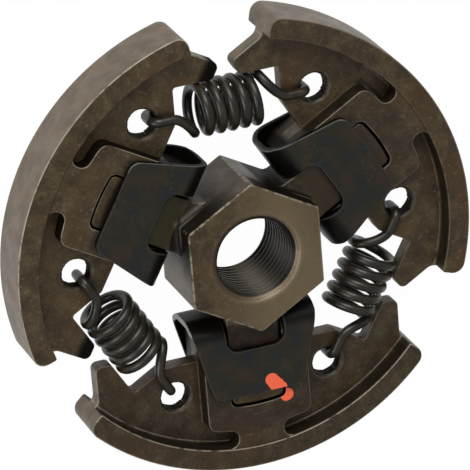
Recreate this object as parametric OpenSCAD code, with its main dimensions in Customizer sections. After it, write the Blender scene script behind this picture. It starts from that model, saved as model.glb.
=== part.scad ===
// Centrifugal clutch of a small garden engine, sizes in millimetres.
// A threaded hexagon hub carries three shoes on its arms. A folded sheet clip holds each shoe on
// its arm, and three tension springs pull the shoes together against the hub.
// The bore axis is Z, with Z = 0 at the back face of the hub. Each shoe and clip is drawn with its
// centre line along +X and the middle of its thickness at Z = 0, then turned to its place.

/* [Hub] */
// Hexagon across its flats
hex_flats = 19; // [17:0.5:20]
// Hexagon from its back face to its front face
hex_length = 12.2; // [10.5:0.1:16]
// Bevel round both faces of the hexagon
hex_bevel = 0.25; // [0.1:0.05:0.6]
// Bore at the crests of its thread
bore_d = 11; // [8:0.5:12]
// Mouth of the countersink at each end of the bore
sink_d = 13; // [12.5:0.1:15]
// Depth of each countersink
sink_depth = 0.8; // [0.4:0.1:1.5]
// Width of an arm
arm_w = 7.6; // [6:0.1:8]
// Thickness of an arm, along the bore
arm_t = 7.1; // [6:0.1:7.2]
// Reach of the arms from the bore axis
arm_reach = 23.2; // [21:0.1:23.8]
// Corner round at the end of an arm
arm_end_r = 0.8; // [0.3:0.1:1.5]
// Fillet between the sides of an arm and the hexagon
arm_fillet = 1.5; // [0.5:0.1:2]
// Fillet between the faces of an arm and the hexagon
arm_blend = 0.9; // [0.4:0.1:1]

/* [Shoes] */
// Diameter over the middles of the friction faces of the closed shoes
shoe_d = 65.5; // [64:0.5:70]
// Centre of a shoe's arcs behind the bore axis, as they suit the wider drum that the shoes run in
arc_offset = 1; // [0:0.1:1.5]
// Depth of the rim along the bore
rim_depth = 8; // [7.6:0.1:8.8]
// Wall of the rim, across its arc
rim_wall = 3; // [2.5:0.1:3.4]
// Half of the angle that one rim covers
rim_half_angle = 48; // [46:0.1:50]
// Round along the edges of the rim
rim_edge_r = 0.2; // [0.1:0.05:0.8]
// Corner round at the outside of each rim end
rim_end_outer_r = 1.6; // [0.5:0.1:1.7]
// Corner round at the inside of each rim end
rim_end_inner_r = 0.3; // [0.2:0.1:0.8]
// Thickness of the web
web_t = 2.4; // [1.8:0.1:3]
// Width of the pad in the middle of a shoe
pad_w = 15.2; // [13:0.1:16]
// Thickness of the pad
pad_t = 7.4; // [7.3:0.1:7.8]
// Corner round of the pad
pad_r = 1.5; // [0.4:0.1:2]
// Gap between the pad and the rim
trench_w = 2.6; // [1.8:0.1:3]
// Width of the neck that joins the pad to the rim
neck_w = 6.8; // [4:0.1:9]
// Fillet between the neck and its neighbours
neck_r = 1.2; // [0.3:0.1:1.3]
// Corner round at the end of the arm slot
slot_r = 1; // [0.4:0.1:1.5]

/* [Spring seats on the web] */
// Inner edge of the web lobes, from the bore axis
lobe_edge = 16.2; // [15.5:0.1:17]
// Corner round where a lobe meets the spring pocket
lobe_r = 1; // [0.3:0.1:2]
// Pocket floor, from the middle of the gap between two shoes
pocket_reach = 7.7; // [7.2:0.1:8.5]
// Fillet in the corner of the pocket
pocket_r = 0.5; // [0.2:0.1:1]
// Horn tips, from the bore axis along the shoe's centre line
horn_tip = 13.85; // [13:0.05:16]
// Width over the outer sides of the two horns
horn_span = 44.8; // [43.5:0.1:45.4]
// Outer corner round of a horn tip
horn_outer_r = 0.9; // [0.3:0.1:1]
// Inner corner round of a horn tip
horn_inner_r = 0.7; // [0.3:0.1:0.9]
// Fillet where the outer side of a horn turns out to the rim end
horn_root_r = 1.5; // [0.5:0.1:2]
// Diameter of a hook hole
hook_hole_d = 4; // [3.4:0.1:4.6]
// Bevel round each mouth of a hook hole
hook_hole_bevel = 0.35; // [0.35:0.05:0.6]
// Hook holes, from the middle of the gap between two shoes
hook_reach = 12.4; // [11.8:0.1:13]

/* [Clips] */
// Sheet thickness of a clip
clip_t = 0.85; // [0.6:0.05:1]
// Length of a clip from its bend to its free edges
clip_l = 11.65; // [10.5:0.05:12]
// Width of a clip at its bend
clip_w = 18.3; // [16.5:0.1:19]
// Width of a clip at its free edges, before the corners are rounded
clip_end_w = 13.2; // [11:0.1:15]
// Length of the straight sides next to the bend
clip_straight = 1.3; // [1:0.1:3]
// Corner round at the free edges
clip_r = 1.8; // [0.5:0.1:3]
// Outside radius of each bend
clip_bend_r = 3.3; // [1.3:0.1:4]
// Width of the window that the arm passes through
window_w = 8.6; // [8.2:0.1:10]
// Length of the window along each leaf
window_l = 4.85; // [3.5:0.05:6]
// Corner round of the window
window_r = 1.8; // [0.5:0.1:3]

/* [Springs] */
// Wire diameter
wire_d = 1.4; // [0.9:0.05:1.6]
// Outside diameter of the coil
coil_d = 7.9; // [6.5:0.1:8.1]
// Length of the coil over its end turns
coil_l = 11.1; // [10:0.1:11.5]
// Half turns in the coil, an odd number so that the hooks leave on opposite sides
half_turns = 11; // [9:2:13]
// Spring axis and hook holes, from the bore axis
spring_line = 20.15; // [19.8:0.05:20.6]
// Bend radius of a hook
hook_bend_r = 1.1; // [0.9:0.05:1.15]
// Straight end of each hook behind the web
hook_tail = 1; // [0.5:0.1:2]

/* [Clearances] */
// Arm and slot wall, on each side
slot_clearance = 0.25; // [0.05:0.05:0.4]
// Arm end and slot end with the shoes closed
arm_end_gap = 0.3; // [0.1:0.05:0.5]
// Clip bend and hexagon beside the window
clip_hub_gap = 1.35; // [0.8:0.05:1.6]
// Clip bend and the inner ends of the shoe
clip_shoe_gap = 0.5; // [0.3:0.05:1]
// Coil and horn
horn_gap = 0.2; // [0.1:0.05:0.5]
// Spring wire and web
hook_gap = 0.05; // [0.03:0.01:0.1]

/* [Hidden] */
$fn = 96;

// Angle from one shoe to the next
step = 120;
// Centre line of the first shoe
first_shoe = -90;
// Overshoot of cutting tools
over = 1;

hex_r = hex_flats / 2 / cos(30);
arm_x = hex_r - arm_w / 2 * tan(30);
mid_z = pad_t / 2 + clip_t;

rim_outer_r = shoe_d / 2 + arc_offset;
rim_inner_r = rim_outer_r - rim_wall;
rim_mid_r = (rim_outer_r + rim_inner_r) / 2;
pad_outer_r = rim_inner_r - trench_w;
clip_x = hex_r - window_w / 2 * tan(30) + clip_hub_gap;
pad_x = clip_x + clip_t + clip_shoe_gap;
// Rounds at the inner end of the pad, as tight as the inside of the clip's bends
pad_nose_r = clip_bend_r - clip_t;
slot_w = arm_w + 2 * slot_clearance;
slot_x = arm_reach + arm_end_gap;
// Side of a horn that faces the spring, measured like the spring line
horn_line = spring_line + coil_d / 2 + horn_gap;
// Angle from the centre line at which the outer side of a horn runs out to the rim end
horn_root_angle = 40;

coil_r = (coil_d - wire_d) / 2;
coil_half = (coil_l - wire_d) / 2;
hook_x = hook_reach - hook_hole_d / 2 + wire_d / 2 + hook_gap;
hook_z = web_t / 2 + wire_d / 2 + hook_gap;
// Run of a hook that lies flat on the web before it bends into its hole
hook_run = 1.65;
// Wire path points in a half turn of the coil and in the sweep from the coil to the web
coil_steps = 7;
sweep_steps = 6;
// Angle between two path points in a hook's bends
bend_step = 22.5;
// Sides of the wire
wire_sides = 8;

// Unit vector along v
function unit(v) = v / norm(v);

// Point of a shoe's plan from its place at the gap: along the spring from the gap's middle
// toward the shoe, and out from the bore axis
function at_gap(along, out) =
    [out * cos(step / 2) + along * sin(step / 2), out * sin(step / 2) - along * cos(step / 2)];

// The same outline on the other side of the centre line, in the opposite order
function mirrored(path) = [for (i = [len(path) - 1 : -1 : 0]) [path[i][0], -path[i][1], path[i][2]]];

// Sliver between a corner and its round, with the two walls met at a and b from the round's
// centre, and drawn to twice the round's radius so that it runs past the corner
module corner_sliver(centre, a, b, r) {
    reach = 2 * r;
    translate(centre)
        difference() {
            polygon([[0, 0], reach * a, reach * (a + b), reach * b]);
            circle(r);
        }
}

// Outline through corners [x, y, radius], anticlockwise, with each corner rounded to its radius
module rounded_outline(corners) {
    n = len(corners);
    function spot(i) = [corners[i % n][0], corners[i % n][1]];
    function turn(i) =
        cross(spot(i) - spot(i + n - 1), spot(i + 1) - spot(i));
    module sliver(i) {
        r = corners[i][2];
        back = unit(spot(i + n - 1) - spot(i));
        ahead = unit(spot(i + 1) - spot(i));
        half = acos(back * ahead) / 2;
        centre = spot(i) + unit(back + ahead) * r / sin(half);
        difference() {
            polygon([spot(i), spot(i) + back * r / tan(half), centre, spot(i) + ahead * r / tan(half)]);
            translate(centre) circle(r);
        }
    }
    difference() {
        union() {
            polygon([for (c = corners) [c[0], c[1]]]);
            for (i = [0 : n - 1]) if (corners[i][2] > 0 && turn(i) < 0) sliver(i);
        }
        for (i = [0 : n - 1]) if (corners[i][2] > 0 && turn(i) > 0) sliver(i);
    }
}

// Prism over its children, centred on Z = 0
module slab(t) {
    translate([0, 0, -t / 2]) linear_extrude(t) children();
}

// Turns its children to the place of shoe i
module placed(i) {
    rotate(first_shoe + step * (i - 1)) translate([0, 0, mid_z]) children();
}

// Bar along +X from x to an arc round the bore axis, with its far corners rounded
module arc_ended_bar(x, w, arc_r, r) {
    y = w / 2 - r;
    corner_x = sqrt(pow(arc_r - r, 2) - y * y);
    translate([x, -w / 2]) square([corner_x - x, w]);
    intersection() {
        circle(arc_r);
        polygon([x * [1, -y / corner_x], 2 * [corner_x, -y], 2 * [corner_x, y], x * [1, y / corner_x]]);
    }
    for (side = [-1, 1]) translate([corner_x, side * y]) circle(r);
}

module arm_plan() {
    arc_ended_bar(bore_d / 2, arm_w, arm_reach, arm_end_r);
    for (side = [-1, 1])
        corner_sliver([arm_x + arm_fillet * tan(30), side * (arm_w / 2 + arm_fillet)],
                      [-cos(30), -side * sin(30)], [0, -side], arm_fillet);
}

// Hollow fillet on one half of an arm's face, along the side of the hexagon that it meets
module arm_blend_piece(side) {
    r = min(arm_blend, mid_z - arm_t / 2);
    intersection() {
        rotate(side * 30)
            translate([hex_flats / 2, 0, arm_t / 2])
                rotate([90, 0, 0])
                    slab(hex_flats)
                        difference() {
                            translate([-over, -over]) square(r + over);
                            translate([r, r]) circle(r);
                        }
        translate([0, side > 0 ? 0 : -arm_w / 2, 0]) cube([arm_reach, arm_w / 2, arm_t]);
    }
}

// The hexagon has a corner on +X
module hexagon() {
    difference() {
        linear_extrude(hex_length) circle(hex_r, $fn = 6);
        for (i = [0 : 5], z = [0, hex_length])
            rotate(60 * i + 30)
                translate([hex_flats / 2, 0, z])
                    rotate([0, 45, 0])
                        cube([hex_bevel * sqrt(2), hex_flats, hex_bevel * sqrt(2)], center = true);
    }
}

module hub() {
    color([0.37, 0.33, 0.25])
        difference() {
            union() {
                rotate(first_shoe) hexagon();
                translate([0, 0, mid_z])
                    for (i = [0 : 2])
                        rotate(first_shoe + step * i) {
                            slab(arm_t) arm_plan();
                            for (side = [-1, 1], flip = [0, 1])
                                mirror([0, 0, flip]) arm_blend_piece(side);
                        }
            }
            translate([0, 0, -over]) cylinder(d = bore_d, h = hex_length + 2 * over);
            for (flip = [0, 1])
                translate([0, 0, flip * hex_length])
                    mirror([0, 0, flip]) cylinder(d1 = sink_d, d2 = bore_d, h = sink_depth);
        }
}

// Corner cuts at the ends of the rim, outward from an arc when out is 1 and inward when it is -1
module rim_end_cuts(arc_r, r, out) {
    centre_r = arc_r - out * r;
    angle = rim_half_angle - asin(r / centre_r);
    for (side = [-1, 1])
        corner_sliver(centre_r * [cos(angle), side * sin(angle)],
                      out * [cos(angle), side * sin(angle)],
                      [-sin(rim_half_angle), side * cos(rim_half_angle)], r);
}

module rim() {
    half = rim_depth / 2;
    translate([-arc_offset, 0, 0]) difference() {
        rotate(-rim_half_angle)
            rotate_extrude(angle = 2 * rim_half_angle)
                rounded_outline([[rim_inner_r, -half, rim_edge_r], [rim_outer_r, -half, rim_edge_r],
                                 [rim_outer_r, half, rim_edge_r], [rim_inner_r, half, rim_edge_r]]);
        slab(rim_depth + over) {
            rim_end_cuts(rim_outer_r, rim_end_outer_r, 1);
            rim_end_cuts(rim_inner_r, rim_end_inner_r, -1);
        }
    }
}

// Lobes, spring pockets and horns, out to the middle of the rim
module web_plan() {
    lobe_out = (lobe_edge - pocket_reach * sin(step / 2)) / cos(step / 2);
    horn_along = (horn_tip - horn_line * cos(step / 2)) / sin(step / 2);
    end_r = rim_inner_r + rim_end_inner_r;
    end = [end_r * cos(rim_half_angle) - arc_offset, end_r * sin(rim_half_angle)];
    root_x = end[0] - (end[1] - horn_span / 2) / tan(horn_root_angle);
    beyond = end + rim_wall * [cos(horn_root_angle), sin(horn_root_angle)];
    side = [
        [rim_outer_r, beyond[1], 0],
        concat(beyond, 0),
        [root_x, horn_span / 2, horn_root_r],
        [horn_tip, horn_span / 2, horn_outer_r],
        concat(at_gap(horn_along, horn_line), horn_inner_r),
        concat(at_gap(pocket_reach, horn_line), pocket_r),
        concat(at_gap(pocket_reach, lobe_out), lobe_r),
    ];
    intersection() {
        rounded_outline(concat(side, mirrored(side)));
        translate([-arc_offset, 0]) circle(rim_mid_r);
    }
}

module pad_plan() {
    r = min(neck_r, trench_w / 2);
    translate([-arc_offset, 0]) {
        arc_ended_bar(pad_x + arc_offset, pad_w, pad_outer_r, pad_r);
        translate([slot_x, -neck_w / 2]) square([rim_mid_r - slot_x, neck_w]);
        for (side = [-1, 1], out = [-1, 1]) {
            y = neck_w / 2 + r;
            reach = out > 0 ? rim_inner_r - r : pad_outer_r + r;
            centre = [sqrt(reach * reach - y * y), side * y];
            corner_sliver(centre, out * unit(centre), [0, -side], r);
        }
    }
}

module pad() {
    half = pad_t / 2;
    intersection() {
        slab(pad_t) pad_plan();
        rotate([90, 0, 0])
            slab(pad_w)
                rounded_outline([[pad_x, -half, pad_nose_r], [rim_outer_r, -half, 0],
                                 [rim_outer_r, half, 0], [pad_x, half, pad_nose_r]]);
    }
}

module hook_hole() {
    bevel_z = web_t / 2 - hook_hole_bevel;
    slab(web_t + over) circle(d = hook_hole_d);
    for (flip = [0, 1])
        mirror([0, 0, flip])
            translate([0, 0, bevel_z])
                cylinder(d1 = hook_hole_d, d2 = hook_hole_d + 2 * hook_hole_bevel, h = hook_hole_bevel);
}

module shoe(i) {
    hole = at_gap(hook_reach, spring_line);
    color([0.35, 0.30, 0.24])
        placed(i)
            difference() {
                union() {
                    rim();
                    slab(web_t) web_plan();
                    pad();
                }
                slab(pad_t + over) arc_ended_bar(clip_x, slot_w, slot_x, slot_r);
                for (side = [-1, 1]) translate([hole[0], side * hole[1], 0]) hook_hole();
            }
}

// Space within the outer face of the folded sheet, or within a face that lies deeper by inset
module fold_section(inset) {
    half = pad_t / 2 + clip_t - inset;
    bend = clip_bend_r - inset;
    rounded_outline([[clip_x + inset, -half, bend], [clip_x + clip_l + over, -half, 0],
                     [clip_x + clip_l + over, half, 0], [clip_x + inset, half, bend]]);
}

module clip_plan() {
    back = clip_x - over;
    front = clip_x + clip_l;
    taper = clip_x + clip_straight;
    side = [[front, clip_end_w / 2, clip_r], [taper, clip_w / 2, 0], [back, clip_w / 2, 0]];
    window = [[clip_x + window_l, window_w / 2, window_r], [back - over, window_w / 2, 0]];
    difference() {
        rounded_outline(concat(side, mirrored(side)));
        rounded_outline(concat(window, mirrored(window)));
    }
}

module clip(i) {
    color([0.20, 0.19, 0.20])
        placed(i)
            intersection() {
                rotate([90, 0, 0])
                    slab(clip_w)
                        difference() {
                            fold_section(0);
                            fold_section(clip_t);
                        }
                slab(pad_t + 2 * clip_t) clip_plan();
            }
}

// Point of a cubic curve from p to s, drawn toward q and r
function curve_point(p, q, r, s, t) =
    pow(1 - t, 3) * p + 3 * t * pow(1 - t, 2) * q + 3 * t * t * (1 - t) * r + pow(t, 3) * s;

// Wire of the hook on the +Y side, measured from the middle of the spring: it leaves the coil
// on the side of the hub, lies on the web, drops through its hole and turns back behind the web
function hook_path() =
    let (
        bend_y = hook_x - hook_bend_r,
        flat_y = bend_y - hook_run,
        start = [-coil_r, coil_half, 0],
        landing = [0, flat_y, hook_z]
    )
    concat(
        [for (k = [1 : sweep_steps])
            curve_point(start, start + [0, 0, hook_z], landing - [0, hook_run, 0], landing,
                        k / sweep_steps)],
        [for (a = [0 : bend_step : 90])
            [0, bend_y + hook_bend_r * sin(a), hook_z - hook_bend_r + hook_bend_r * cos(a)]],
        [for (a = [90 : bend_step : 180])
            [0, bend_y + hook_bend_r * sin(a), hook_bend_r - hook_z + hook_bend_r * cos(a)]],
        [[0, bend_y - hook_tail, -hook_z]]
    );

function spring_path() =
    let (hook = hook_path(), last = len(hook) - 1, count = half_turns * coil_steps)
    concat(
        [for (k = [last : -1 : 0]) [-hook[k][0], -hook[k][1], hook[k][2]]],
        [for (k = [0 : count])
            let (a = -180 / coil_steps * k)
            [coil_r * cos(a), coil_half * (2 * k / count - 1), coil_r * sin(a)]],
        hook
    );

// Normals carried along a path without twist
function carried(tangents, i, last_normal) =
    i == len(tangents) ? [] :
        let (n = unit(last_normal - (last_normal * tangents[i]) * tangents[i]))
        concat([n], carried(tangents, i + 1, n));

// Round wire along a path
module wire(path) {
    last = len(path) - 1;
    tangents = [for (i = [0 : last]) unit(path[min(i + 1, last)] - path[max(i - 1, 0)])];
    normals = carried(tangents, 0, [1, 0, 0]);
    m = wire_sides;
    points = [for (i = [0 : last], j = [0 : m - 1])
        let (a = 360 / m * j)
        path[i] + wire_d / 2 * (cos(a) * normals[i] + sin(a) * cross(tangents[i], normals[i]))];
    sides = [for (i = [0 : last - 1], j = [0 : m - 1])
        let (k = (j + 1) % m)
        [i * m + j, (i + 1) * m + j, (i + 1) * m + k, i * m + k]];
    polyhedron(points, concat([[for (j = [0 : m - 1]) j]], sides,
                              [[for (j = [m - 1 : -1 : 0]) last * m + j]]));
}

module spring(i) {
    color([0.33, 0.33, 0.31])
        rotate(step / 2)
            placed(i)
                translate([spring_line, 0, 0])
                    wire(spring_path());
}

hub();
shoe(1);  // shoe_1
shoe(2);  // shoe_2
shoe(3);  // shoe_3
clip(1);  // clip_1
clip(2);  // clip_2
clip(3);  // clip_3
spring(1);  // spring_1
spring(2);  // spring_2
spring(3);  // spring_3
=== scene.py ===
import math

import bpy
from mathutils import Matrix, Vector


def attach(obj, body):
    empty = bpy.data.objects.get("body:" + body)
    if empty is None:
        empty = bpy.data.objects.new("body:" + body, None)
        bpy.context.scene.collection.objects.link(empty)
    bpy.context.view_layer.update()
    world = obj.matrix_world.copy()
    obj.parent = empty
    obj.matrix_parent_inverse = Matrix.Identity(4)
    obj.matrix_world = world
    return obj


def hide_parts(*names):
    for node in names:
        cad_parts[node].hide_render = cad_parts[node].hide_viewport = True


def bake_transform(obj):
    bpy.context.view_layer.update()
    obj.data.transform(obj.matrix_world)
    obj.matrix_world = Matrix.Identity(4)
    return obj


# centrifugal clutch: threaded hub, three shoes on its arms, folded sheet clips, tension springs;
# sizes are in mm here and become metres where a mesh is made
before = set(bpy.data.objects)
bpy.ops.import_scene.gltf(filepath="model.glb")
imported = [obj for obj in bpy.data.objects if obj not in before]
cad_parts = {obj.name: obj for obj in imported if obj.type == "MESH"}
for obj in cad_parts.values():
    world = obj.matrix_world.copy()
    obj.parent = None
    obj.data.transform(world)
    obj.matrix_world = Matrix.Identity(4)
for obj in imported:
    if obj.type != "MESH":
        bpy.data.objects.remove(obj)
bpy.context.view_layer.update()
print("frame loaded with", len(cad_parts), "nodes")

mm = 0.001
firstShoe, shoeStep = -90, 120     # centre lines of the shoes round the bore, in degrees
midHeight = 4.55                   # middle of the shoes above the back face of the hub


# finishes

def srgb(red, green, blue):
    levels = [(channel / 255 + 0.055) / 1.055 for channel in (red, green, blue)]
    return tuple(level ** 2.4 for level in levels) + (1,)


# a value that changes over a surface: sums and products of it add their Math nodes
class Field:
    def __init__(self, finish, socket):
        self.finish, self.socket = finish, socket

    def math(self, operation, *values):
        return self.finish.node("Math", {"operation": operation}, dict(enumerate(values)))

    def __add__(self, other):
        return self.math("ADD", self, other)

    def __sub__(self, other):
        return self.math("SUBTRACT", self, other)

    def __rsub__(self, other):
        return self.math("SUBTRACT", other, self)

    def __mul__(self, other):
        return self.math("MULTIPLY", self, other)

    __radd__, __rmul__ = __add__, __mul__

    def root(self):
        return self.math("SQRT", self)

    def larger(self, other):
        return self.math("MAXIMUM", self, other)

    def unsigned(self):
        return self.math("ABSOLUTE", self)

    def distance(self, other):
        return (self * self + other * other).root()

    # 0 below low, 1 above high, or the other way round when low is the larger
    def rise(self, low, high):
        return self.finish.node("MapRange", {"interpolation_type": "SMOOTHSTEP"},
                                {0: self, 1: low, 2: high, 3: 0.0, 4: 1.0})

    # 1 between low and high, and 0 from soft beyond them
    def band(self, low, high, soft=0.04):
        return self.rise(low - soft, low) * self.rise(high + soft, high)


# x, y and z are in mm, with the bore axis upright and X turned to the angle of the piece's place
class Finish:
    def __init__(self, name, turn=0):
        self.material = bpy.data.materials.new(name)
        self.material.use_nodes = True
        self.tree = self.material.node_tree
        self.shader = self.tree.nodes["Principled BSDF"]
        place = self.node("TexCoord", output="Object")
        self.where = self.node("Mapping", {}, {"Vector": place, "Scale": (1000, 1000, 1000),
                                               "Rotation": (0, 0, -math.radians(turn))})
        self.x, self.y, self.z = [self.node("SeparateXYZ", {}, {0: self.where}, output=axis)
                                  for axis in range(3)]
        self.radius = self.distance(0, 0)
        self.seed = turn / 3

    def node(self, kind, settings=None, inputs=None, output=0):
        made = self.tree.nodes.new("ShaderNode" + kind)
        for name, value in (settings or {}).items():
            if name == "stops":
                ramp = made.color_ramp.elements
                while len(ramp) < len(value):
                    ramp.new(1)
                for stop, (position, colour) in zip(ramp, value):
                    stop.position, stop.color = position, colour
            else:
                setattr(made, name, value)
        for name, value in (inputs or {}).items():
            self.feed(made.inputs[name], value)
        return Field(self, made.outputs[output])

    def feed(self, socket, value):
        if isinstance(value, Field):
            self.tree.links.new(value.socket, socket)
        else:
            socket.default_value = value

    def distance(self, x, y):
        return (self.x - x).distance(self.y - y)

    # noise whose blotches are about size mm across, or longer where stretch is below 1
    def noise(self, size, detail=4.0, rough=0.55, stretch=(1, 1, 1)):
        place = self.node("Mapping", {}, {"Vector": self.where, "Location": (self.seed, 0, size),
                                          "Scale": [share / size for share in stretch]})
        return self.node("TexNoise", {}, {"Vector": place, "Scale": 1.0, "Detail": detail,
                                          "Roughness": rough})

    def ramp(self, value, stops):
        return self.node("ValToRGB", {"stops": stops}, {0: value})

    def mix(self, share, first, second, how="MIX"):
        return self.node("Mix", {"data_type": "RGBA", "blend_type": how},
                         {0: share, 6: first, 7: second}, output=2)

    def bump(self, height, depth):
        return self.node("Bump", {}, {"Height": height, "Distance": depth * mm, "Strength": 1.0})

    # another shader takes a share of the surface
    def cover(self, share, other):
        both = self.node("MixShader", {}, {0: share, 1: Field(self, self.shader.outputs[0]), 2: other})
        self.feed(self.tree.nodes["Material Output"].inputs["Surface"], both)

    # a matt black without any sheen: painted shade, and soot on the shoes' walls
    def mattSootAndShade(self, share):
        self.cover(share, self.node("BsdfDiffuse", {}, {"Color": iron["sootAndShade"]}))

    def set(self, **values):
        for name, value in values.items():
            self.feed(self.shader.inputs[name.replace("_", " ")], value)
        return self.material


iron = {
    "dark": srgb(42, 33, 20), "plain": srgb(65, 53, 34), "pale": srgb(88, 76, 52),
    "rust": srgb(74, 53, 27), "speck": srgb(112, 103, 84), "edge": srgb(148, 139, 123),
    "sootAndShade": srgb(13, 11, 8), "face": srgb(88, 76, 62), "facePale": srgb(104, 92, 76),
    "faceRust": srgb(102, 80, 60), "side": srgb(104, 96, 86), "thread": srgb(52, 47, 39), "sink": srgb(128, 113, 92),
    "olive": srgb(118, 103, 78), "hole": srgb(46, 32, 28),
    "armDark": srgb(22, 17, 11), "armRed": srgb(49, 30, 20), "crestHighlight": srgb(96, 98, 84),
    "reddish": srgb(96, 82, 74),
    "armBrown": srgb(54, 44, 29), "armOlive": srgb(42, 40, 19),
}


# sintered iron: mottled, stained in places and flecked with bare grains
def ironBase(name, turn, toneAndLight):
    finish = Finish(name, turn)
    blotch, grain = finish.noise(2.4, 5.0, 0.62), finish.noise(0.35, 3.0, 0.7)
    colour = finish.ramp(blotch * 0.7 + grain * 0.3,
                         [(0.34, iron["dark"]), (0.5, iron["plain"]), (0.66, iron["pale"])])
    colour = finish.mix(finish.noise(7.5, 3.0).rise(0.46, 0.7) * 0.6, colour, iron["rust"])
    colour = finish.mix(finish.noise(0.6, 2.0).rise(0.6, 0.72) * 0.35, colour, iron["speck"])
    # the whole piece is made lighter or darker by its tone; on the shoes this is painted light, with the shoe
    # nearest the light made lightest
    return finish, finish.mix(1.0, colour, (toneAndLight, toneAndLight, toneAndLight, 1), "MULTIPLY"), grain, blotch


# how light each shoe is, which is painted light: the shoe nearest the light is made the lightest; how bright the
# painted highlights along its seams are; how bright the rubbed edges of its rim and pad are, which is partly painted
# highlight; and how much painted shade falls on its walls, its trench, its pad beside the clip and its nose
shoeLooks = (
    {"toneAndLight": 0.8, "padTone": 0.7, "outer": 0.3, "inner": 0.75, "pad": 0.4, "seamHighlight": 0.8,
     "wallSootAndShade": 0.6, "trenchShadow": 0.0, "clipShadow": 0.0, "noseShade": 0.0, "shadeEnd": 13.5},
    {"toneAndLight": 0.98, "padTone": 0.75, "outer": 0.25, "inner": 0.15, "pad": 0.35, "seamHighlight": 0.4,
     "wallSootAndShade": 0.62, "trenchShadow": 0.85, "clipShadow": 0.0, "noseShade": 0.9, "shadeEnd": 13.6},
    {"toneAndLight": 1.1, "padTone": 0.97, "outer": 1.0, "inner": 0.0, "pad": 0.6, "seamHighlight": 0.0,
     "wallSootAndShade": 1.0, "trenchShadow": 0.0, "clipShadow": 0.7, "noseShade": 1.0, "shadeEnd": 15.8},
)


# shoe i; its arcs run round a centre behind the bore axis, and worn is for its rounded edges
def shoeFinish(i, worn):
    looks, edge = shoeLooks[i - 1], iron["edge"]
    finish, colour, grain, blotch = ironBase(f"shoeIron{i}{'Edge' if worn else ''}",
                                             firstShoe + shoeStep * (i - 1), looks["toneAndLight"])
    level, side = (finish.z - midHeight).unsigned(), finish.y.unsigned()
    arcRadius = finish.distance(-shoe["arcOffset"], 0)
    patchy = finish.noise(1.6, 2.0).rise(0.3, 0.5)

    face = arcRadius.rise(33.5, 33.65)
    rubbed = finish.mix(blotch.rise(0.35, 0.65), iron["face"], iron["facePale"])
    rubbed = finish.mix(finish.noise(3.5, 3.0).rise(0.5, 0.66) * 0.5, rubbed, iron["faceRust"])
    ends = side.rise(22.2, 22.35) * level.rise(3.95, 3.8) * 0.75
    colour = finish.mix(face.larger(ends), colour, rubbed)

    pad = level.rise(3.2, 3.4) * arcRadius.rise(29, 28.5)
    darker = looks["padTone"]
    colour = finish.mix(pad, colour, finish.mix(1.0, colour, (darker, darker, darker, 1), "MULTIPLY"))
    # painted shade, with some soot: the walls between the web and the faces, round the pad and inside the rim, are
    # darkened
    sootyShadedWalls = level.band(1.3, 3.62) * arcRadius.rise(31, 30.85) * looks["wallSootAndShade"]
    # painted shadow of the pad on the web beside its outer edge
    besidePad = level.rise(1.3, 1.22) * arcRadius.band(28, 28.7, 0.3) * finish.y.band(3.4, 7.6, 0.4)
    # painted shadow of the clip's free end on the pad
    clipEnd = clip["start"] + clip["length"]
    besideClip = pad * finish.x.rise(clipEnd + 0.9, clipEnd) * side.rise(7.2, 6.4)
    # painted shade on the slot's walls, in the gap round the arm's end
    slotWall = level.rise(3.66, 3.58) * side.rise(4.2, 4.1) * finish.radius.rise(23.65, 23.55)
    # painted shade: the hook holes' walls are dark reddish brown and matt, and a shadow falls round each hole and
    # beside the hook
    x, y = atGap(shoe["holeReach"], shoe["springLine"])
    fromHole = (finish.x - x).distance(side - y)
    inHole = fromHole.rise(2.05, 2)
    ring = level.rise(1.3, 1.22) * fromHole.band(2.02, 2.35, 0.15) * 0.6
    x, y = atGap(shoe["holeReach"] - 1.9, shoe["springLine"])
    ring = ring.larger(level.rise(1.3, 1.22) * (finish.x - x).distance(side - y).rise(1.7, 0.6) * 0.85)
    shadeAndSoot = sootyShadedWalls.larger(slotWall).larger(ring).larger(besidePad * looks["trenchShadow"])
    shadeAndSoot = shadeAndSoot.larger(besideClip * looks["clipShadow"])
    # painted shade inside the clip's fold, over the pad's nose
    nose = finish.x.rise(looks["shadeEnd"] + 0.7, looks["shadeEnd"] - 0.7) * looks["noseShade"]
    shadeAndSoot = shadeAndSoot.larger(nose)
    colour = finish.mix(inHole * 0.85, colour, iron["hole"])
    # all this painted shade, with the soot on the walls, darkens the colour
    colour = finish.mix(shadeAndSoot * (0.98 - blotch * 0.3), colour, iron["sootAndShade"])

    # painted highlight: bright lines along the joins of the web with the rim and the pad stand in for light caught
    # by small fillets there
    wallSeam = arcRadius.band(30.42, 30.56) + arcRadius.band(28.2, 28.3) * side.band(3.6, 6.6)
    padSeam = side.band(7.68, 7.78) * finish.x.band(11, 25.6)
    seamHighlight = level.rise(1.3, 1.22) * (wallSeam + padSeam * 0.6) * looks["seamHighlight"]
    colour = finish.mix(seamHighlight * patchy * 0.9, colour, edge)
    if worn:
        # rubbed edges, partly painted highlight: each edge is made as bright as where it catches the light
        high, outside = level.rise(3.2, 3.6), arcRadius.rise(32, 32.2)
        inside = arcRadius.rise(30.4, 30.6) * (1 - outside)
        bright = high * (outside * looks["outer"] + inside * looks["inner"]
                         + (1 - inside - outside) * looks["pad"])
        bright = bright + (1 - high) * (1 - shadeAndSoot) * (0.15 + ends * 0.5)
        colour = finish.mix(bright * patchy, colour, edge)
    dab = paintDab(finish) if i == 1 else 0
    colour = finish.mix(dab, colour, paintColour)
    # the painted shade, with the soot on the walls, takes a matt share
    finish.mattSootAndShade((sootyShadedWalls * 0.7).larger(slotWall).larger(inHole * 0.85).larger(nose * 0.9))
    return finish.set(Base_Color=colour, Metallic=0.3 - dab * 0.3,
                      Roughness=0.6 - blotch * 0.25 - dab * 0.2,
                      Normal=finish.bump(grain * 0.6 + blotch * 0.4 + dab * 2, 0.04))


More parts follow.
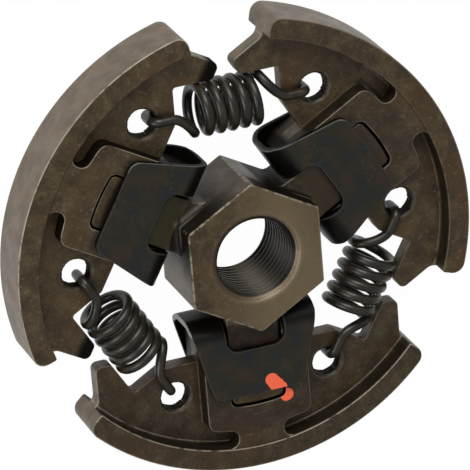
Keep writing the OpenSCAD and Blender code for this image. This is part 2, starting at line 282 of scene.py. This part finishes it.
# a smear of orange paint over the clip and the pad of the first shoe, where they face up
def paintDab(finish):
    wave = finish.noise(1.2, 2.0) * 0.2 - 0.1
    spots = [(finish.distance(x, y) + wave).rise(radius + 0.06, radius - 0.06)
             for x, y, radius in ((19.9, 1.8, 0.95), (20.4, 2.15, 1.0), (20.9, 2.5, 1.05),
                                  (21.5, 2.85, 1.15), (23.05, 4.1, 1.0))]
    dab = spots[0]
    for spot in spots[1:]:
        dab = dab.larger(spot)
    return dab * finish.z.rise(7.9, 8.1)


def hubFinish(name, worn):
    finish, colour, grain, blotch = ironBase(name, firstShoe, 1.12)
    x, y, z, radius = finish.x, finish.y, finish.z, finish.radius
    top, flats = z.rise(12, 12.1), z.rise(12.12, 11.9) * radius.band(9.2, 11.2, 0.2)
    paler = (x * 0.2 + y).rise(-9, 5) * top
    colour = finish.mix(paler * 0.65, colour, iron["olive"])
    colour = finish.mix(flats * (x.rise(-9, -3) * 0.5 + 0.1), colour, iron["side"])
    colour = finish.mix(flats * blotch.rise(0.45, 0.6) * 0.35, colour, iron["reddish"])
    # painted shade on the flats away from the first arm
    colour = finish.mix(flats * x.rise(-4, -7) * 0.36, colour, iron["sootAndShade"])
    darker = top * (y - x * 0.4).rise(6, 12) * 0.3
    colour = finish.mix(darker, colour, iron["dark"])

    arms = z.rise(8.5, 8.2) * radius.rise(10.6, 12.5)
    second, third = y.rise(4, 5.5), y.rise(-4, -5.5)
    stain = finish.noise(1.5, 3.0).rise(0.42, 0.62)
    arm = finish.mix(stain, iron["armDark"], iron["armRed"])
    arm = finish.mix(third, finish.mix(second, arm, iron["armBrown"]), iron["armOlive"])
    tips = radius.rise(18, 20) * (1 - second) * 0.8
    colour = finish.mix(arms * (0.9 - tips), colour, arm)
    nearArm = (x * x * x - x * y * y * 3).rise(300, 1000)
    # painted shade on the arms' side walls, under the arms' roots, on the third arm beside the clip's free end, and
    # on the flats beside the second and third arms, where the clips' bends stand close
    armWalls = arms * (z - midHeight).unsigned().rise(3.5, 3.35)
    # painted highlight along the crest of each arm's root blend
    crestHighlight = nearArm * radius.rise(9.3, 9.6) * z.band(8.75, 9.1, 0.12)
    colour = finish.mix(crestHighlight * 0.6, colour, iron["crestHighlight"])
    under = nearArm * z.rise(8.4, 6) * (1 - arms) * 0.75
    clipShadow = arms * third * radius.band(17, 21.6, 0.8) * 0.7
    besideThird = (flats * finish.distance(-5.5, -9.5).rise(9.5, 4) * (z.rise(8.6, 9.2) * 0.4 + 0.25))
    besideThird = besideThird.larger(flats * y.rise(-8.8, -9.3) * x.rise(2.2, -2.5) * 0.8)
    middle = y.rise(2.2, 3.2) * y.rise(7.4, 5.8)
    besideSecond = flats * y.rise(0.3, 0.9) * z.rise(7.9, 8.6).larger(middle)
    shade = (armWalls * 0.8).larger(under).larger(clipShadow)
    shade = shade.larger((besideThird.larger(besideSecond * 0.8)) * (1 - crestHighlight))
    colour = finish.mix(shade, colour, iron["sootAndShade"])

    bore = radius.rise(6.6, 6.4) * z.rise(11.75, 11.5)
    sink = radius.rise(6.6, 6.4) * (1 - bore)
    colour = finish.mix(sink * 0.6, colour, iron["sink"])
    # painted shade: a brown band on one side of the countersink
    colour = finish.mix(sink * y.rise(1, -4) * 0.6, colour, iron["rust"])
    colour = finish.mix(bore, colour, iron["thread"])
    # painted shade in the thread's grooves and over the far side of the bore
    colour = finish.mix(bore * radius.rise(5.6, 5.95) * 0.75, colour, iron["sootAndShade"])
    colour = finish.mix(bore * y.rise(1.5, 5) * 0.85, colour, iron["sootAndShade"])
    if worn:
        patchy = finish.noise(0.9, 3.0).rise(0.4, 0.55)
        bare = radius.rise(6.6, 6.9) * (1 - arms.larger(nearArm * z.rise(9.8, 9.2)))
        colour = finish.mix(patchy * bare * 0.65, colour, iron["edge"])
    finish.mattSootAndShade(shade * 0.8)
    return finish.set(Base_Color=colour, Metallic=0.35 + bore * 0.4,
                      Roughness=0.56 - blotch * 0.2 - bore * 0.12,
                      Normal=finish.bump(grain * 0.6 + blotch * 0.4, 0.03))


# bend is the black of painted shade in and over the clips' bends; it is also put on their free ends and lit cut
# edges
sheet = {"black": srgb(44, 42, 33), "blue": srgb(34, 38, 42), "brown": srgb(56, 45, 37),
         "edge": srgb(150, 148, 142), "scratch": srgb(74, 72, 64), "bend": srgb(11, 12, 12)}

# the side of each clip that faces the light, how bright the painted highlights along its lit edge and on the cut
# edge of its fold are, and how black its lit cut edge is made
clipLooks = (
    {"side": -1, "line": 0.0, "foldHighlight": 0.75, "dull": 0.0},
    {"side": 1, "line": 0.5, "foldHighlight": 0.1, "dull": 0.6},
    {"side": -1, "line": 0.6, "foldHighlight": 0.0, "dull": 0.95},
)


# blackened spring sheet of clip i, with painted shade in and round its bends: black inside the fold and over the
# bend
def clipFinish(i, worn):
    looks = clipLooks[i - 1]
    finish = Finish(f"blackSheet{i}{'Edge' if worn else ''}", firstShoe + shoeStep * (i - 1))
    cloud, grain = finish.noise(3.2, 6.0, 0.6), finish.noise(0.25, 2.0)
    colour = finish.ramp(cloud, [(0.37, sheet["blue"]), (0.5, sheet["black"]), (0.64, sheet["brown"])])
    scratch = finish.noise(1.1, 1.0).band(0.49, 0.51, 0.01) * finish.noise(4.0).rise(0.5, 0.6)
    colour = finish.mix(scratch * 0.35, colour, sheet["scratch"])
    bendX, bendLevel = clip["start"] + clip["bend"], shoe["padThickness"] / 2 + clip["sheet"] - clip["bend"]
    level = (finish.z - midHeight).unsigned()
    depth = (bendX - finish.x).larger(0).distance((level - bendLevel).larger(0))
    inside = depth.rise(2.95, 2.8)
    bend = finish.x.rise(bendX - 0.2, bendX - 1.6)
    tip = finish.x.rise(clip["start"] + clip["length"] - 0.1, clip["start"] + clip["length"] - 0.04)
    # painted shade: black inside the fold and over the bend; the free end is made black too
    colour = finish.mix((bend * 0.85).larger(inside).larger(tip * 0.8), colour, sheet["bend"])
    lit = finish.y * looks["side"]
    taper = (clip["width"] - clip["endWidth"]) / 2 / (clip["length"] - clip["straight"])
    fromEdge = lit + (finish.x - clip["start"] - clip["straight"]).larger(0) * taper
    dull = fromEdge.rise(clip["width"] / 2 - 0.1, clip["width"] / 2 - 0.04) * looks["dull"]
    colour = finish.mix(dull, colour, sheet["bend"])
    # painted highlight on the cut edge of the fold on the lit side
    foldHighlight = lit.rise(9.02, 9.1) * finish.x.rise(bendX + 0.6, bendX - 0.6) * looks["foldHighlight"]
    colour = finish.mix(foldHighlight, colour, sheet["edge"])
    if worn:
        # rubbed edges, with painted highlights along the lit edge and over the bend
        share = finish.noise(2.2).rise(0.3, 0.5) * (1 - inside)
        line = lit.rise(4.8, 5.4) * looks["line"]
        colour = finish.mix(share * (line + bend * 0.3 + 0.12), colour, sheet["edge"])
    dab = paintDab(finish) if i == 1 else 0
    colour = finish.mix(dab, colour, paintColour)
    # the painted shade and the black cut edge take a matt share
    finish.mattSootAndShade((inside * 0.8).larger(bend * 0.4).larger(dull * 0.8) * (1 - foldHighlight))
    return finish.set(Base_Color=colour, Metallic=0.5 - dab * 0.5, Roughness=0.42 - cloud * 0.15,
                      Normal=finish.bump(grain * 0.3 + cloud * 0.3 + dab * 2, 0.03))


wire = {"dark": srgb(17, 17, 13), "plain": srgb(35, 31, 22), "brown": srgb(50, 42, 28)}


def wireFinish(name):
    finish = Finish(name)
    cloud, grain = finish.noise(2.2, 4.0), finish.noise(0.2, 2.0)
    colour = finish.ramp(cloud, [(0.3, wire["dark"]), (0.52, wire["plain"]), (0.74, wire["brown"])])
    return finish.set(Base_Color=colour, Metallic=0.1, Roughness=0.3 + grain * 0.12,
                      Normal=finish.bump(grain, 0.01))


paintColour = srgb(238, 100, 66)


# mesh tools

def clearSelection():
    if bpy.context.object and bpy.context.object.mode != "OBJECT":
        bpy.ops.object.mode_set(mode="OBJECT")
    bpy.ops.object.select_all(action="DESELECT")


def selectOnly(*objects):
    clearSelection()
    for thing in objects:
        thing.select_set(True)
    bpy.context.view_layer.objects.active = objects[0]


def modify(piece, kind, **settings):
    modifier = piece.modifiers.new(kind, kind)
    for name, value in settings.items():
        setattr(modifier, name, value)
    selectOnly(piece)
    bpy.ops.object.modifier_apply(modifier=modifier.name)


def outward(piece):
    selectOnly(piece)
    bpy.ops.object.mode_set(mode="EDIT")
    bpy.ops.mesh.select_all(action="SELECT")
    bpy.ops.mesh.remove_doubles(threshold=0.001 * mm)
    bpy.ops.mesh.normals_make_consistent(inside=False)
    bpy.ops.object.mode_set(mode="OBJECT")


def place(piece, matrix):
    piece.data.transform(matrix)
    piece.data.update()


# a ring of points in mm, filled and pulled up from one height to the other
def plate(name, outline, low, high, materials=()):
    clearSelection()
    bpy.ops.mesh.primitive_circle_add(vertices=len(outline), radius=mm, fill_type="NGON")
    piece = bpy.context.object
    piece.name = name
    for vertex, (x, y) in zip(piece.data.vertices, outline):
        vertex.co = (x * mm, y * mm, low * mm)
    bpy.ops.object.mode_set(mode="EDIT")
    bpy.ops.mesh.select_all(action="SELECT")
    bpy.ops.mesh.extrude_region_move(TRANSFORM_OT_translate={"value": (0, 0, (high - low) * mm)})
    outward(piece)
    for material in materials:
        piece.data.materials.append(material)
    return piece


# the same, standing up: its outline is in X and Z, and it is 2 * half thick along Y
def standingPlate(name, outline, half, materials=()):
    piece = plate(name, outline, -half, half, materials)
    place(piece, Matrix.Rotation(math.pi / 2, 4, "X"))
    return piece


def cylinder(radius, low, high, topRadius=None, sides=96, materials=()):
    clearSelection()
    bpy.ops.mesh.primitive_cone_add(
        vertices=sides, radius1=radius * mm, radius2=(topRadius or radius) * mm,
        depth=(high - low) * mm, location=(0, 0, (low + high) / 2 * mm))
    bpy.ops.object.transform_apply()
    piece = bpy.context.object
    for material in materials:
        piece.data.materials.append(material)
    return piece


# a ring of points, as radius and height in mm, turned round the bore axis
def turned(name, profile, steps=96):
    clearSelection()
    bpy.ops.mesh.primitive_circle_add(vertices=len(profile), radius=mm)
    piece = bpy.context.object
    piece.name = name
    for vertex, (radius, height) in zip(piece.data.vertices, profile):
        vertex.co = (radius * mm, 0, height * mm)
    bpy.ops.object.mode_set(mode="EDIT")
    bpy.ops.mesh.select_all(action="SELECT")
    bpy.ops.mesh.spin(steps=steps, angle=2 * math.pi, center=(0, 0, 0), axis=(0, 0, 1))
    outward(piece)
    return piece


def cut(piece, tool, operation="DIFFERENCE"):
    modify(piece, "BOOLEAN", object=tool, operation=operation, solver="EXACT")
    bpy.data.objects.remove(tool)


# rounds the sharp edges and gives the rounds the piece's second material
def roundEdges(piece, width, angle=35, segments=3):
    modify(piece, "BEVEL", width=width * mm, segments=segments, limit_method="ANGLE",
           angle_limit=math.radians(angle), material=1, use_clamp_overlap=False,
           miter_outer="MITER_ARC")


def joined(name, pieces):
    selectOnly(*pieces)
    bpy.ops.object.join()
    piece = bpy.context.object
    piece.name = name
    return piece


def copied(piece, name, matrix):
    copy = piece.copy()
    copy.data = piece.data.copy()
    copy.name = name
    bpy.context.scene.collection.objects.link(copy)
    place(copy, matrix)
    return copy


def refinish(piece, materials):
    for slot, material in enumerate(materials):
        piece.data.materials[slot] = material


def smoothed(piece, angle=40):
    selectOnly(piece)
    bpy.ops.object.shade_smooth_by_angle(angle=math.radians(angle))
    modify(piece, "WEIGHTED_NORMAL", keep_sharp=True)


# outlines

def polar(radius, angle):
    return Vector((radius * math.cos(math.radians(angle)), radius * math.sin(math.radians(angle))))


def arc(centre, radius, start, end, steps):
    return [Vector(centre) + polar(radius, start + (end - start) * k / steps)
            for k in range(steps + 1)]


# outline through corners (x, y) or (x, y, radius of its round)
def roundedOutline(corners, steps=7):
    points = []
    for i, corner in enumerate(corners):
        here = Vector(corner[:2])
        if len(corner) < 3:
            points.append(here)
            continue
        back = (Vector(corners[i - 1][:2]) - here).normalized()
        ahead = (Vector(corners[(i + 1) % len(corners)][:2]) - here).normalized()
        half = back.angle(ahead) / 2
        centre = here + (back + ahead).normalized() * corner[2] / math.sin(half)
        first = here + back * corner[2] / math.tan(half) - centre
        last = here + ahead * corner[2] / math.tan(half) - centre
        turn = first.angle_signed(last)
        points += [centre + Matrix.Rotation(-turn * k / steps, 2) @ first for k in range(steps + 1)]
    return points


def mirrored(points):
    return [(point[0], -point[1], *point[2:]) for point in reversed(points)]


def onArc(radius, y):
    return Vector((math.sqrt(radius ** 2 - y ** 2), y))


def bearing(point):
    return math.degrees(math.atan2(point[1], point[0]))


# upper half of a bar's end on an arc round the bore axis, from its rounded corner to the middle
def arcEnd(radius, half, corner):
    centre = onArc(radius - corner, half - corner)
    return (arc(centre, corner, 90, bearing(centre), 6)
            + arc((0, 0), radius, bearing(centre), 0, 8)[1:])


# place on a shoe from the gap beside it: along the spring from the gap's middle, out from the bore
def atGap(along, out):
    half = math.radians(shoeStep / 2)
    return (out * math.cos(half) + along * math.sin(half),
            out * math.sin(half) - along * math.cos(half))


# shoes, modelled with the centre line along X and the middle of the thickness at Z 0

shoe = {
    "rimRadius": 33.75, "arcOffset": 1.0, "rimWall": 3.0, "rimDepth": 8.0, "rimHalfAngle": 48.0,
    "rimEdge": 0.15, "rimEndOuter": 1.6, "rimEndInner": 0.3,
    "webThickness": 2.4, "webEdge": 0.16,
    "lobeEdge": 16.2, "lobeRound": 1.0, "pocketReach": 7.7, "pocketRound": 0.5,
    "hornTip": 13.85, "hornSpan": 44.8, "hornLine": 24.3, "hornOuter": 0.9, "hornInner": 0.7,
    "hornRoot": 1.5, "hornRootAngle": 40,
    "holeRadius": 2.0, "holeBevel": 0.35, "holeReach": 12.4, "springLine": 20.15,
    "padWidth": 15.2, "padThickness": 7.4, "padStart": 11.19, "padCorner": 1.5, "padEdge": 0.15,
    "padNose": 2.45, "trench": 2.6, "neckWidth": 6.8, "neckFillet": 1.2,
    "slotWidth": 8.1, "slotEnd": 23.5, "slotCorner": 1.0, "slotWall": 1.2,
}


def buildRim(s):
    outer, inner, half = s["rimRadius"], s["rimRadius"] - s["rimWall"], s["rimHalfAngle"]
    outerCentre, innerCentre = outer - s["rimEndOuter"], inner + s["rimEndInner"]
    outerStop = half - math.degrees(math.asin(s["rimEndOuter"] / outerCentre))
    innerStop = half - math.degrees(math.asin(s["rimEndInner"] / innerCentre))
    end = arc((0, 0), outer, 0, outerStop, 36)
    end += arc(polar(outerCentre, outerStop), s["rimEndOuter"], outerStop, half + 90, 8)[1:]
    end += arc(polar(innerCentre, innerStop), s["rimEndInner"], half + 90, innerStop + 180, 7)
    end += arc((0, 0), inner, innerStop, 0, 36)[1:]
    end = [tuple(point) for point in end]
    rim = plate("rim", end + mirrored(end)[1:-1], -s["rimDepth"] / 2, s["rimDepth"] / 2,
                shoeMaterials[0])
    place(rim, Matrix.Translation((-s["arcOffset"] * mm, 0, 0)))
    roundEdges(rim, s["rimEdge"], segments=4)
    return rim


def buildWeb(s):
    middle = s["rimRadius"] - s["rimWall"] / 2
    lobeOut = (s["lobeEdge"] - s["pocketReach"] * math.sin(math.pi / 3)) / 0.5
    hornAlong = (s["hornTip"] - s["hornLine"] * 0.5) / math.sin(math.pi / 3)
    insidePad = s["slotWidth"] / 2 + s["slotWall"]
    end = polar(s["rimRadius"] - s["rimWall"] + s["rimEndInner"], s["rimHalfAngle"])
    end.x -= s["arcOffset"]
    rootX = end.x - (end.y - s["hornSpan"] / 2) / math.tan(math.radians(s["hornRootAngle"]))
    side = [
        (rootX, s["hornSpan"] / 2, s["hornRoot"]),
        (s["hornTip"], s["hornSpan"] / 2, s["hornOuter"]),
        (*atGap(hornAlong, s["hornLine"]), s["hornInner"]),
        (*atGap(s["pocketReach"], s["hornLine"]), s["pocketRound"]),
        (*atGap(s["pocketReach"], lobeOut), s["lobeRound"]),
        (s["lobeEdge"], insidePad),
        (s["slotEnd"] + s["slotWall"] / 2, insidePad),
    ]
    spread = s["rimHalfAngle"] - 0.3
    rimSide = arc((-s["arcOffset"], 0), middle, -spread, spread, 40)
    web = plate("web", roundedOutline(rimSide + side + mirrored(side)),
                -s["webThickness"] / 2, s["webThickness"] / 2, shoeMaterials[0])
    x, y = atGap(s["holeReach"], s["springLine"])
    half, mouth = s["webThickness"] / 2, s["holeRadius"] + s["holeBevel"]
    for centre in ((x, y), (x, -y)):
        for tool in (cylinder(s["holeRadius"], -2 * half, 2 * half, sides=48),
                     cylinder(mouth - 1, half - 1, half + 1, mouth + 1, sides=48),
                     cylinder(mouth + 1, -half - 1, 1 - half, mouth - 1, sides=48)):
            place(tool, Matrix.Translation((centre[0] * mm, centre[1] * mm, 0)))
            cut(web, tool)
    roundEdges(web, s["webEdge"])
    return web


def buildPad(s):
    half, slot, neck, shift = s["padWidth"] / 2, s["slotWidth"] / 2, s["neckWidth"] / 2, s["arcOffset"]
    rimInner = s["rimRadius"] - s["rimWall"]
    padOuter, fillet = rimInner - s["trench"], s["neckFillet"]

    corner = onArc(padOuter - s["padCorner"], half - s["padCorner"])
    low, high = onArc(padOuter + fillet, neck + fillet), onArc(rimInner - fillet, neck + fillet)
    side = [polar(rimInner + s["rimWall"] / 2, bearing(high))]
    side += arc(high, fillet, bearing(high), -90, 8)
    side += arc(low, fillet, 270, bearing(low) + 180, 8)
    side += arc((0, 0), padOuter, bearing(low), bearing(corner), 8)[1:-1]
    side += arc(corner, s["padCorner"], bearing(corner), 90, 7)
    side += [(s["padStart"] + shift, half), (s["padStart"] + shift, slot)]
    side += [(x + shift, y) for x, y in arcEnd(s["slotEnd"], slot, s["slotCorner"])]
    thick = s["padThickness"] / 2
    pad = plate("pad", side + mirrored(side)[1:], -thick, thick, shoeMaterials[0])
    place(pad, Matrix.Translation((-shift * mm, 0, 0)))
    nose = [(s["padStart"], -thick, s["padNose"]), (s["rimRadius"], -thick),
            (s["rimRadius"], thick), (s["padStart"], thick, s["padNose"])]
    cut(pad, standingPlate("nose", roundedOutline(nose), s["padWidth"]), "INTERSECT")
    roundEdges(pad, s["padEdge"])
    return pad


# clips, in the same place as the shoes

clip = {
    "sheet": 0.85, "start": 9.84, "length": 11.65, "width": 18.3, "endWidth": 13.2,
    "straight": 1.3, "corner": 1.8, "bend": 3.3, "windowWidth": 8.6, "windowLength": 4.85,
    "windowRound": 1.8, "edge": 0.12,
}


def buildClip(c, s):
    outside, end = s["padThickness"] / 2 + c["sheet"], c["start"] + c["length"]
    past = end + 1

    def within(inset):
        start, half, bend = c["start"] + inset, outside - inset, c["bend"] - inset
        return [(past, half), (start, half, bend), (start, -half, bend), (past, -half)]

    piece = standingPlate("clip", roundedOutline(within(0) + within(c["sheet"])[::-1], 9),
                          c["width"], clipMaterials[0])
    back, window = c["start"] - 1, c["windowWidth"] / 2
    side = [(end, c["endWidth"] / 2, c["corner"]), (c["start"] + c["straight"], c["width"] / 2),
            (back, c["width"] / 2), (back, window),
            (c["start"] + c["windowLength"], window, c["windowRound"])]
    cut(piece, plate("plan", roundedOutline(side + mirrored(side)), -2 * outside, 2 * outside),
        "INTERSECT")
    roundEdges(piece, c["edge"], angle=50, segments=2)
    return piece


# hub, in its own place

hub = {
    "acrossFlats": 19.0, "length": 12.2, "edge": 0.25,
    "grooveRadius": 6.0, "crestRadius": 5.46, "crestWidth": 0.16, "pitch": 1.0,
    "sinkRadius": 6.5, "sinkSlope": 0.8,
    "armWidth": 7.6, "armThickness": 7.1, "armReach": 23.2, "armCorner": 0.8,
    "armFillet": 1.5, "armBlend": 0.9,
}


def buildNut(h):
    length, slope = h["length"], h["sinkSlope"]
    corner = h["acrossFlats"] / 2 / math.cos(math.pi / 6)
    nut = cylinder(corner, 0, length, sides=6, materials=hubMaterials)
    cut(nut, cylinder(h["grooveRadius"], -length, 2 * length))
    cut(nut, cylinder(h["sinkRadius"] + 1, -slope, slope, h["sinkRadius"] - 1))
    cut(nut, cylinder(h["sinkRadius"] - 1, length - slope, length + slope, h["sinkRadius"] + 1))
    roundEdges(nut, h["edge"])
    return nut


# ridges between the grooves, cut off along the two countersinks
def buildThread(h):
    root, half = h["grooveRadius"] + 0.05, h["pitch"] * 0.47
    profile = [(root, -half), (h["crestRadius"], -h["crestWidth"] / 2),
               (h["crestRadius"], h["crestWidth"] / 2), (root, half)]
    clearSelection()
    bpy.ops.mesh.primitive_circle_add(vertices=len(profile), radius=mm)
    thread = bpy.context.object
    for vertex, (radius, height) in zip(thread.data.vertices, profile):
        vertex.co = (radius * mm, 0, height * mm)
    modify(thread, "SCREW", angle=2 * math.pi, screw_offset=h["pitch"] * mm, steps=72,
           render_steps=72, iterations=math.ceil(h["length"] / h["pitch"]), axis="Z")
    bpy.ops.object.mode_set(mode="EDIT")
    bpy.ops.mesh.select_all(action="SELECT")
    bpy.ops.mesh.fill_holes(sides=len(profile))
    outward(thread)
    for material in hubMaterials:
        thread.data.materials.append(material)
    outside, inside = root + 0.3, h["crestRadius"] - 0.2

    def sinkDepth(radius):
        return (h["sinkRadius"] - radius) * h["sinkSlope"]

    room = [(radius, height) for radius, height in (
        (outside, sinkDepth(outside)), (inside, sinkDepth(inside)),
        (inside, h["length"] - sinkDepth(inside)), (outside, h["length"] - sinkDepth(outside)))]
    cut(thread, turned("room", room), "INTERSECT")
    return thread


# one arm along X with its root flared into the hexagon, the middle of its thickness at Z 0
def buildArm(h):
    half, fillet, flat = h["armWidth"] / 2, h["armFillet"], h["acrossFlats"] / 2
    thick, blend = h["armThickness"] / 2, h["armBlend"]
    tilt = math.tan(math.pi / 6)
    meets = flat / math.cos(math.pi / 6) - half * tilt
    centre = (meets + fillet * tilt, half + fillet)
    side = arcEnd(h["armReach"], half, h["armCorner"])[::-1] + arc(centre, fillet, 270, 210, 8)
    side += [(flat - 2, half + fillet / 3)]
    arm = plate("arm", side + mirrored(side)[:-1], -thick, thick, hubMaterials)
    roundEdges(arm, h["edge"])
    pieces = [arm]
    hollow = [(blend, 0), *arc((blend, blend), blend, 270, 180, 8)[1:], (-blend, blend), (-blend, 0)]
    for turn in (-30, 30):
        piece = standingPlate("blend", hollow, flat, hubMaterials)
        place(piece, Matrix.Rotation(math.radians(turn), 4, "Z")
              @ Matrix.Translation((flat * mm, 0, (thick - 0.02) * mm)))
        way = math.copysign(1, turn)
        for height, normal in ((0, -way), (way * (half - 0.1), way)):
            selectOnly(piece)
            bpy.ops.object.mode_set(mode="EDIT")
            bpy.ops.mesh.select_all(action="SELECT")
            bpy.ops.mesh.bisect(plane_co=(0, height * mm, 0), plane_no=(0, normal, 0),
                                use_fill=True, clear_outer=True)
            bpy.ops.object.mode_set(mode="OBJECT")
        outward(piece)
        pieces.append(piece)
        below = copied(piece, "blend", Matrix.Scale(-1, 4, (0, 0, 1)))
        outward(below)
        pieces.append(below)
    return joined("arm", pieces)


# springs, modelled in the middle of their gap: X out from the bore, Y along the coil

spring = {
    "wire": 1.4, "coilRadius": 3.25, "coilHalf": 4.85, "turns": 5.5, "stepsPerTurn": 28,
    "bend": 1.1, "run": 1.65, "tail": 1.0, "seatGap": 0.05,
}


def buildSpring(w, s):
    reach, halfWire = w["coilRadius"], w["wire"] / 2
    hookEnd = s["holeReach"] - s["holeRadius"] + halfWire + w["seatGap"]
    top = s["webThickness"] / 2 + halfWire + w["seatGap"]
    bendY, bend = hookEnd - w["bend"], w["bend"]
    start, landing = Vector((-reach, w["coilHalf"], 0)), Vector((0, bendY - w["run"], top))
    leave, arrive = start + Vector((0, 0, top)), landing - Vector((0, w["run"], 0))
    hook = []
    for k in range(1, 13):
        t = k / 12
        hook.append((1 - t) ** 3 * start + 3 * t * (1 - t) ** 2 * leave
                    + 3 * t * t * (1 - t) * arrive + t ** 3 * landing)
    for level, turns in ((top - bend, range(0, 9)), (bend - top, range(8, 17))):
        for k in turns:
            out = polar(bend, 90 - k * 11.25)
            hook.append(Vector((0, bendY + out.x, level + out.y)))
    hook.append(Vector((0, bendY - w["tail"], -top)))
    count = round(w["turns"] * w["stepsPerTurn"])
    coil = []
    for k in range(count + 1):
        out = polar(reach, -360 * w["turns"] * k / count)
        coil.append(Vector((out.x, w["coilHalf"] * (2 * k / count - 1), out.y)))
    path = [Vector((-p.x, -p.y, p.z)) for p in reversed(hook)] + coil + hook
    clearSelection()
    bpy.ops.curve.primitive_nurbs_path_add()
    piece = bpy.context.object
    piece.name = "spring"
    line = piece.data.splines[0]
    line.type = "POLY"
    line.points.add(len(path) - len(line.points))
    for point, spot in zip(line.points, path):
        point.co = (*(spot * mm), 1)
    piece.data.bevel_depth = halfWire * mm
    piece.data.bevel_resolution = 4
    piece.data.use_fill_caps = True
    selectOnly(piece)
    bpy.ops.object.convert(target="MESH")
    for material in wireMaterials:
        piece.data.materials.append(material)
    outward(piece)
    return piece


# pieces in their places

shoeMaterials = [[shoeFinish(i, False), shoeFinish(i, True)] for i in (1, 2, 3)]
clipMaterials = [[clipFinish(i, False), clipFinish(i, True)] for i in (1, 2, 3)]
hubMaterials = [hubFinish("hubIron", False), hubFinish("hubIronEdge", True)]
wireMaterials = [wireFinish("springWire")]
print("finishes ready")

shoeModel = joined("shoe", [buildRim(shoe), buildWeb(shoe), buildPad(shoe)])
smoothed(shoeModel)
print("shoe modelled")
clipModel = buildClip(clip, shoe)
smoothed(clipModel)
print("clip modelled")
springModel = buildSpring(spring, shoe)
smoothed(springModel, 60)
print("spring modelled")
armModel = buildArm(hub)
print("arm modelled")

hubParts = [buildNut(hub), buildThread(hub)]
for i in (1, 2, 3):
    angle = firstShoe + shoeStep * (i - 1)
    toShoe = (Matrix.Rotation(math.radians(angle), 4, "Z")
              @ Matrix.Translation((0, 0, midHeight * mm)))
    toGap = (Matrix.Rotation(math.radians(angle + shoeStep / 2), 4, "Z")
             @ Matrix.Translation((shoe["springLine"] * mm, 0, midHeight * mm)))
    hubParts.append(copied(armModel, f"arm{i}", toShoe))
    frictionShoe = copied(shoeModel, f"frictionShoe{i}", toShoe)
    refinish(frictionShoe, shoeMaterials[i - 1])
    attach(frictionShoe, f"shoe_body_{i}")
    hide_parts(f"shoe_{i}")
    sheetClip = copied(clipModel, f"sheetClip{i}", toShoe)
    refinish(sheetClip, clipMaterials[i - 1])
    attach(sheetClip, f"shoe_body_{i}")
    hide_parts(f"clip_{i}")
    coilSpring = copied(springModel, f"coilSpring{i}", toGap)
    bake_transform(coilSpring)
    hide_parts(f"spring_{i}")

threadedHub = joined("threadedHub", hubParts)
smoothed(threadedHub)
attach(threadedHub, "hub_body")
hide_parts("hub")
for model in (shoeModel, clipModel, springModel, armModel):
    bpy.data.objects.remove(model)
print("pieces placed")


# floor, light and camera

studio = {"floorSize": 3.0, "whiteShare": 0.985, "skyLevel": 0.42, "keyPower": 3.6, "fillPower": 2.2}

clearSelection()
bpy.ops.mesh.primitive_plane_add(size=studio["floorSize"], location=(0, 0, -0.01 * mm))
floor = bpy.context.object
floor.name = "floor"
bpy.ops.object.transform_apply()
paper = Finish("paper")
seen = [paper.node("LightPath", output=f"Is {kind} Ray") for kind in ("Camera", "Glossy", "Transmission")]
paper.set(Base_Color=srgb(242, 241, 238), Roughness=0.9)
glow = paper.node("Emission", {}, {"Color": (1, 1, 1, 1), "Strength": 1.0})
share = seen[0].larger(seen[1]).larger(seen[2]) * studio["whiteShare"]
paper.cover(share, glow)
floor.data.materials.append(paper.material)

world = bpy.data.worlds.new("softSky")
bpy.context.scene.world = world
world.use_nodes = True
sky = world.node_tree.nodes["Background"]
sky.inputs["Color"].default_value = (1, 1, 1, 1)
sky.inputs["Strength"].default_value = studio["skyLevel"]


def softLamp(name, spot, size, power):
    clearSelection()
    bpy.ops.object.light_add(type="AREA", location=spot)
    lamp = bpy.context.object
    lamp.name = name
    lamp.data.size = size
    lamp.data.energy = power
    lamp.rotation_euler = Vector(spot).to_track_quat("Z", "Y").to_euler()


softLamp("keyLamp", (-0.05, 0.6, 0.42), 0.4, studio["keyPower"])
softLamp("fillLamp", (-0.6, -0.05, 0.42), 0.4, studio["fillPower"])

camera = {"spot": (-0.1821, 0.2454, 0.5409), "right": (0.9329, -0.0776, 0.3517),
          "up": (0.2070, 0.9147, -0.3472), "lens": 344.9}
clearSelection()
bpy.ops.object.camera_add()
eye = bpy.context.object
right = Vector(camera["right"]).normalized()
back = right.cross(Vector(camera["up"])).normalized()
eye.matrix_world = (Matrix.Translation(camera["spot"])
                    @ Matrix((right, back.cross(right), back)).transposed().to_4x4())
eye.data.lens = camera["lens"]
eye.data.sensor_width = 36
bpy.context.scene.camera = eye
bpy.context.scene.view_settings.view_transform = "Standard"
print("studio ready")
